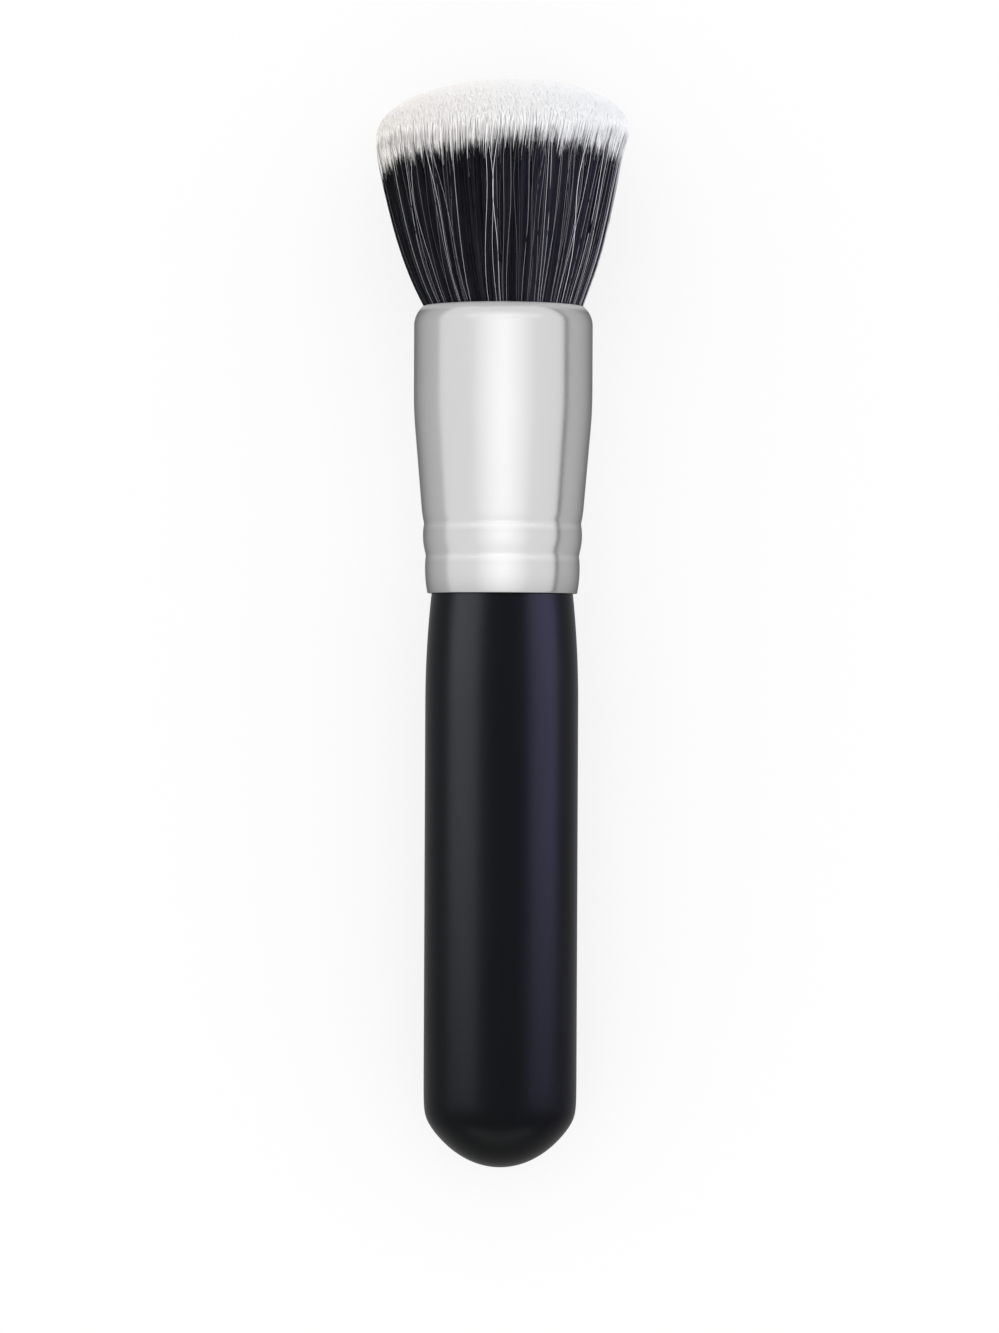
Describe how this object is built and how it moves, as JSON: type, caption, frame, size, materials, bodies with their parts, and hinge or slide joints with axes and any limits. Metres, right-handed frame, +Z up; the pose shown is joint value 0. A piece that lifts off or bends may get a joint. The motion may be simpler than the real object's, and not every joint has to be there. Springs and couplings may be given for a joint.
{
  "type": "stippling brush",
  "caption": "Short thick stippling brush with a domed round handle, a crimped aluminium ferrule and a flared, flat-topped head of dark and white fibres, lying on its side.",
  "frame": {"origin": "middle of the underside of the brush's box, on the surface that the brush lies on", "axes": "+Z up. The brush lies on its side with its axis in the YZ plane: +Y runs from the handle's domed end to the head, and the axis rises 2.69 degrees towards the head. +X is to the right of someone who looks down with the head away from them."},
  "size_m": [0.0348, 0.1496, 0.0342],
  "materials": {
    "black_lacquer": "matt black lacquer with a soft sheen",
    "satin_aluminium": "satin, drawn and anodised clear",
    "cast_resin": "clear amber epoxy",
    "thread": "waxed thread",
    "dark_hair": "dyed black natural hair",
    "white_fibre": "soft off-white synthetic fibre"
  },
  "bodies": {
    "root": {"handle": "black_lacquer", "ferrule": "satin_aluminium", "resin_plug": "cast_resin", "binding_thread": "thread", "goat_hair": "dark_hair", "white_fibres": "white_fibre", "white_strands": "white_fibre"}
  },
  "joints": []
}
